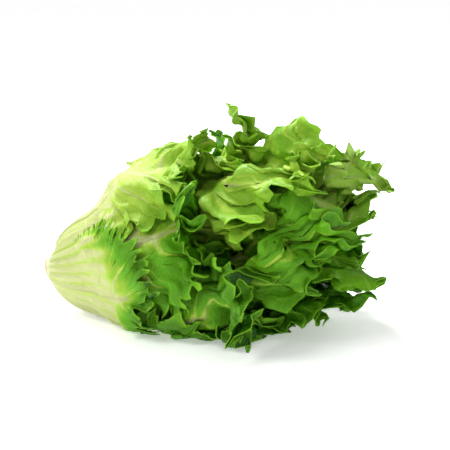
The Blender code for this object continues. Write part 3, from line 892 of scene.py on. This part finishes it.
mesh_of_veins = wire.add(
    "TexVoronoi", {"Vector": given["Position"], "Scale": 260.0}, feature="DISTANCE_TO_EDGE"
).outputs["Distance"]
net = wire.ramp(mesh_of_veins, 0.10, 0.0)
wire.tree.links.new(veins, put_out["Veins"])
wire.tree.links.new(net, put_out["Net"])
LEAF_VEINS = group
print("made", group.name)

# %% [markdown]
# ## The colour of the tissue
#
# A leaf runs from white at its foot through yellow-green to deep green, with pale
# veins and a paler underside. A bright thin rim is painted along its margin as a
# highlight, where light catches and shines through the thin edge. All of it hangs on
# one number, how green the tissue is: patches, veins, the fan of ribs and the painted
# backlight on the upper leaves only raise or lower it.

# %% Tissue colour
group, given, put_out = new_group(
    "Leaf tissue",
    [
        ("Tone", "Vector", None), ("Place", "Vector", None), ("Position", "Vector", None),
        ("Veins", "Float", 0.0), ("Net", "Float", 0.0),
        ("Foot", "Color", colour(0.57, 0.61, 0.27)), ("Young", "Color", colour(0.44, 0.64, 0.06)),
        ("Blade", "Color", colour(0.095, 0.39, 0.002)),
        ("Deep", "Color", colour(0.006, 0.075, 0.001)),
        ("Painted Rim Light And Net", "Color", colour(0.28, 0.64, 0.02)),
        ("Underside", "Color", colour(0.15, 0.43, 0.012)),
        ("Bruise", "Color", colour(0.50, 0.27, 0.17)), ("Mottle", "Float", 0.22),
        ("Between Ribs", "Float", 0.55),
    ],
    [("Colour", "Color"), ("Green", "Float"), ("Under", "Float")],
)
wire = Wiring(group)
green, under, ribs = wire.parts(given["Tone"])
_, q, along = wire.parts(given["Place"])
patches = wire.math("SUBTRACT", wire.noise(given["Position"], 42.0, 3.0), 0.5)
green = wire.math("ADD", green, wire.math("MULTIPLY", patches, given["Mottle"]))
veined = wire.math("MULTIPLY", given["Veins"], wire.ramp(green, 0.05, 0.6, 0.10, 0.34))
green = wire.math("SUBTRACT", green, veined)
between = wire.math("MULTIPLY", wire.math("SUBTRACT", 0.5, ribs), given["Between Ribs"])
green = wire.math("ADD", green, between)
tissue = wire.blend(wire.ramp(green, 0.02, 0.34), given["Foot"], given["Young"])
tissue = wire.blend(wire.ramp(green, 0.26, 0.66), tissue, given["Blade"])
tissue = wire.blend(wire.ramp(green, 0.56, 0.95), tissue, given["Deep"])
netted = wire.math("MULTIPLY", given["Net"], wire.ramp(green, 0.2, 0.8, 0.0, 0.22))
tissue = wire.blend(netted, tissue, given["Painted Rim Light And Net"])
pale_side = wire.math("MULTIPLY", under, wire.ramp(green, 0.25, 0.8, 0.0, 0.55))
tissue = wire.blend(pale_side, tissue, given["Underside"])
# Painted rim light: a thin strip at the margin is coloured bright yellow-green, a painted
# highlight where light catches and shines through the thin edge. The same colour also paints the
# fine vein net paler.
rim = wire.math("MULTIPLY", wire.ramp(q, 0.955, 1.0), wire.ramp(along, 0.03, 0.10, 0.0, 0.6))
tissue = wire.blend(rim, tissue, given["Painted Rim Light And Net"])
blotches = wire.ramp(wire.noise(given["Position"], 160.0), 0.35, 0.6, 0.35, 0.9)
cut = wire.math("MULTIPLY", wire.ramp(along, 0.0032, 0.0), blotches)
tissue = wire.blend(cut, tissue, given["Bruise"])
wire.tree.links.new(tissue, put_out["Colour"])
wire.tree.links.new(green, put_out["Green"])
wire.tree.links.new(under, put_out["Under"])
LEAF_TISSUE = group
print("made", group.name)

# %% [markdown]
# ## Fine relief
#
# Veins stand out below a leaf and sink in above, and its skin has crinkles and a fine
# grain. They are too small for the mesh and don't reach the outline, so a Bump node,
# which only bends the light, is enough.

# %% Fine relief
group, given, put_out = new_group(
    "Leaf grain",
    [
        ("Position", "Vector", None), ("Veins", "Float", 0.0), ("Net", "Float", 0.0),
        ("Under", "Float", 0.0), ("Grain", "Float", 0.25), ("Crinkle", "Float", 1.3),
    ],
    [("Height", "Float")],
)
wire = Wiring(group)
side = wire.math("SUBTRACT", wire.math("MULTIPLY", given["Under"], 2.0), 1.0)
lines = wire.math("ADD", given["Veins"], wire.math("MULTIPLY", given["Net"], 0.35))
relief = wire.math("MULTIPLY", lines, wire.math("MULTIPLY", side, 0.5))
crinkle = wire.noise(given["Position"], 120.0, 2.0, 0.45)
relief = wire.math("ADD", relief, wire.math("MULTIPLY", crinkle, given["Crinkle"]))
grain = wire.noise(given["Position"], 900.0, 2.0, 0.6)
relief = wire.math("ADD", relief, wire.math("MULTIPLY", grain, given["Grain"]))
wire.tree.links.new(relief, put_out["Height"])
LEAF_GRAIN = group
print("made", group.name)


# %% [markdown]
# ## Three leaf finishes
#
# Light does not only bounce off a leaf: much of it goes through and comes out
# yellower on the other side, and that glow is what makes the head look fresh. A
# Translucent shader is mixed with the Principled one for it. The upper side of the
# leaf is waxy and glossy and its underside is duller, so the roughness follows the
# side. Outer leaves are the darkest, and the heart, which the sun never reached, is
# light green nearly to its tips.

# %% Build the finishes and give them to the leaves
BUMP_DEPTH, BUMP_STRENGTH = 0.0013, 0.8
SHINE = 0.22


def leaf_finish(name, tissue_values, gloss, see_through, glow):
    made = bpy.data.materials.new(name)
    made.use_nodes = True
    wire = Wiring(made.node_tree)
    shader = made.node_tree.nodes["Principled BSDF"]
    place_on_leaf, tone = wire.attribute("leaf_place"), wire.attribute("leaf_tone")
    position = wire.position()
    veins = wire.add("Group", {}, node_tree=LEAF_VEINS)
    for key, value in {"Place": place_on_leaf, "Position": position}.items():
        made.node_tree.links.new(value, veins.inputs[key])
    tissue = wire.add("Group", {}, node_tree=LEAF_TISSUE)
    for key, value in tissue_values.items():
        tissue.inputs[key].default_value = value
    grain = wire.add("Group", {}, node_tree=LEAF_GRAIN)
    for key, value in {"Tone": tone, "Place": place_on_leaf, "Position": position}.items():
        made.node_tree.links.new(value, tissue.inputs[key])
    made.node_tree.links.new(position, grain.inputs["Position"])
    for target in (tissue, grain):
        made.node_tree.links.new(veins.outputs["Veins"], target.inputs["Veins"])
        made.node_tree.links.new(veins.outputs["Net"], target.inputs["Net"])
    made.node_tree.links.new(tissue.outputs["Under"], grain.inputs["Under"])
    relief = grain.outputs["Height"]
    bump_inputs = {"Height": relief, "Distance": BUMP_DEPTH, "Strength": BUMP_STRENGTH}
    bump = wire.add("Bump", bump_inputs)
    roughness = wire.ramp(tissue.outputs["Under"], 0.0, 1.0, gloss[0], gloss[1])
    made.node_tree.links.new(tissue.outputs["Colour"], shader.inputs["Base Color"])
    made.node_tree.links.new(roughness, shader.inputs["Roughness"])
    made.node_tree.links.new(bump.outputs["Normal"], shader.inputs["Normal"])
    shader.inputs["Specular IOR Level"].default_value = SHINE
    lit = wire.blend(1.0, tissue.outputs["Colour"], glow, "MULTIPLY")
    through = wire.add("BsdfTranslucent", {"Color": lit, "Normal": bump.outputs["Normal"]})
    mixed = wire.add("MixShader", {0: see_through, 1: shader.outputs[0], 2: through.outputs[0]})
    output = made.node_tree.nodes["Material Output"]
    made.node_tree.links.new(mixed.outputs[0], output.inputs["Surface"])
    return made


outer_finish = leaf_finish("outer leaf", {}, (0.30, 0.46), 0.34, colour(1.0, 0.98, 0.5))
inner_finish = leaf_finish(
    "inner leaf",
    {"Blade": colour(0.12, 0.41, 0.004), "Deep": colour(0.009, 0.095, 0.001)},
    (0.30, 0.46), 0.28, colour(1.0, 0.98, 0.5),
)
heart_finish = leaf_finish(
    "heart leaf",
    {
        "Young": colour(0.40, 0.66, 0.07), "Blade": colour(0.20, 0.53, 0.008),
        "Deep": colour(0.045, 0.23, 0.002),
    },
    (0.34, 0.48), 0.34, colour(1.0, 0.98, 0.6),
)
INNER_FROM = 7
for leaf, piece in zip(leaves, leaf_pieces):
    if leaf.index < INNER_FROM:
        finish, slot = outer_finish, "outer_leaf"
    elif leaf.index < HEART_FROM:
        finish, slot = inner_finish, "inner_leaf"
    else:
        finish, slot = heart_finish, "heart_leaf"
    piece.data.materials.append(finish)
print("finished", len(leaf_pieces), "leaves")


# %% [markdown]
# ## The cut stem's finish
#
# Fresh stem tissue is watery white-green, and a cut face dries within hours: its rim
# and the ring of milk tubes turn pinkish brown first. The stored radius tells the
# material where the ring is, and noise breaks it up.

# %% Stem finish
stem_finish = bpy.data.materials.new("cut stem")
stem_finish.use_nodes = True
wire = Wiring(stem_finish.node_tree)
across, along, _ = wire.parts(wire.attribute("stem_place"))
position = wire.position()
speckle = wire.noise(position, 420.0, 3.0)
ring = wire.math("MULTIPLY", wire.ramp(across, 0.50, 0.60), wire.ramp(across, 0.74, 0.64))
edge = wire.ramp(across, 0.80, 0.96)
brown = wire.math("MULTIPLY", wire.math("MAXIMUM", ring, edge), wire.ramp(along, 0.0035, 0.0005))
brown = wire.math("MULTIPLY", brown, wire.ramp(speckle, 0.30, 0.62, 0.35, 0.85))
flesh = wire.blend(speckle, colour(0.62, 0.62, 0.42), colour(0.52, 0.56, 0.32))
flesh = wire.blend(brown, flesh, colour(0.46, 0.24, 0.15))
shader = stem_finish.node_tree.nodes["Principled BSDF"]
stem_bump = wire.add("Bump", {"Height": speckle, "Distance": 0.0005, "Strength": 0.5})
stem_finish.node_tree.links.new(flesh, shader.inputs["Base Color"])
moist = wire.ramp(speckle, 0.3, 0.7, 0.30, 0.45)
stem_finish.node_tree.links.new(moist, shader.inputs["Roughness"])
stem_finish.node_tree.links.new(stem_bump.outputs["Normal"], shader.inputs["Normal"])
stem.data.materials.append(stem_finish)
print("finished the stem")


# %% [markdown]
# ## Table and light
#
# The head is shown as on a white studio table: a broad soft light from above and
# behind makes the thin leaves glow, a second one from the front left shapes the pale
# foot, and a white room fills the shadows. The room alone would leave a white table
# grey, so the table gives off a little light of its own.

# %% Set the table and the lights
FLOOR_HALF = 25.0
FLOOR_WHITE = 0.96
FLOOR_ROUGHNESS = 0.7
FLOOR_GLOW = 0.35
ROOM_LIGHT = 0.66
floor_mesh = bpy.data.meshes.new("table_top")
floor_mesh.from_pydata(
    [(x * FLOOR_HALF, y * FLOOR_HALF, 0.0) for x, y in ((-1, -1), (1, -1), (1, 1), (-1, 1))],
    [], [(0, 1, 2, 3)],
)
floor = bpy.data.objects.new("table_top", floor_mesh)
bpy.context.scene.collection.objects.link(floor)
floor_finish = bpy.data.materials.new("white table")
floor_finish.use_nodes = True
floor_shader = floor_finish.node_tree.nodes["Principled BSDF"]
floor_shader.inputs["Base Color"].default_value = colour(*[FLOOR_WHITE] * 3)
floor_shader.inputs["Roughness"].default_value = FLOOR_ROUGHNESS
floor_shader.inputs["Emission Color"].default_value = colour(1.0, 1.0, 1.0)
floor_shader.inputs["Emission Strength"].default_value = FLOOR_GLOW
floor_mesh.materials.append(floor_finish)
floor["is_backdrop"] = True

world = bpy.data.worlds.new("white room")
world.use_nodes = True
world.node_tree.nodes["Background"].inputs["Color"].default_value = colour(1.0, 1.0, 1.0)
world.node_tree.nodes["Background"].inputs["Strength"].default_value = ROOM_LIGHT
bpy.context.scene.world = world


def soft_light(name, position, size, watts, aim=(0.0, 0.0, 0.08)):
    lamp = bpy.data.lights.new(name, "AREA")
    lamp.shape = "DISK"
    lamp.size = size
    lamp.energy = watts
    made = bpy.data.objects.new(name, lamp)
    made.location = position
    made.rotation_mode = "QUATERNION"
    made.rotation_quaternion = (Vector(aim) - Vector(position)).to_track_quat("-Z", "Y")
    bpy.context.scene.collection.objects.link(made)


soft_light("light_behind", (-0.50, 0.55, 1.10), size=0.45, watts=30.0)
soft_light("light_front_left", (-0.75, -0.80, 0.85), size=0.60, watts=9.0)
bpy.context.scene.view_settings.view_transform = "Standard"
print("lights and table set")

# %% [markdown]
# ## The camera
#
# It stands in front of the head, a little to its right and above it. It is far off and
# has a long lens, so that near and far leaves keep their true proportions.

# %% Set the camera
CAMERA_AZIMUTH = math.radians(13)
CAMERA_ELEVATION = math.radians(14)
CAMERA_DISTANCE = 1.3
FIELD_WIDTH = 0.398         # of what the picture shows at the head
AIM_RIGHT = 0.010           # the head stands a little left of the picture's middle
AIM_HEIGHT = 0.088
right = Vector((math.cos(CAMERA_AZIMUTH), math.sin(CAMERA_AZIMUTH), 0))
aim = right * AIM_RIGHT + Vector((0, 0, AIM_HEIGHT))
back = Vector((
    math.sin(CAMERA_AZIMUTH) * math.cos(CAMERA_ELEVATION),
    -math.cos(CAMERA_AZIMUTH) * math.cos(CAMERA_ELEVATION),
    math.sin(CAMERA_ELEVATION),
))
camera = bpy.data.objects.new("camera", bpy.data.cameras.new("camera"))
camera.location = aim + back * CAMERA_DISTANCE
camera.rotation_mode = "QUATERNION"
camera.rotation_quaternion = (-back).to_track_quat("-Z", "Y")
camera.data.lens = camera.data.sensor_width * CAMERA_DISTANCE / FIELD_WIDTH
bpy.context.scene.collection.objects.link(camera)
bpy.context.scene.camera = camera
print("camera at", [round(value, 2) for value in camera.location])

# %% [markdown]
# ## Check the size and finish
#
# The finer leaves have to stay in the room that the solids take up. How far they reach
# beyond the CAD box, low and high on each axis, is written out in millimetres, so that
# it can be compared after each change.

# %% Write both boxes and finish
visual_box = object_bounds()
below = [round((a - b) * 1000, 1) for a, b in zip(cad_box[0], visual_box[0])]
above = [round((b - a) * 1000, 1) for a, b in zip(cad_box[1], visual_box[1])]
print("beyond the CAD box, low", below, "high", above, "mm")
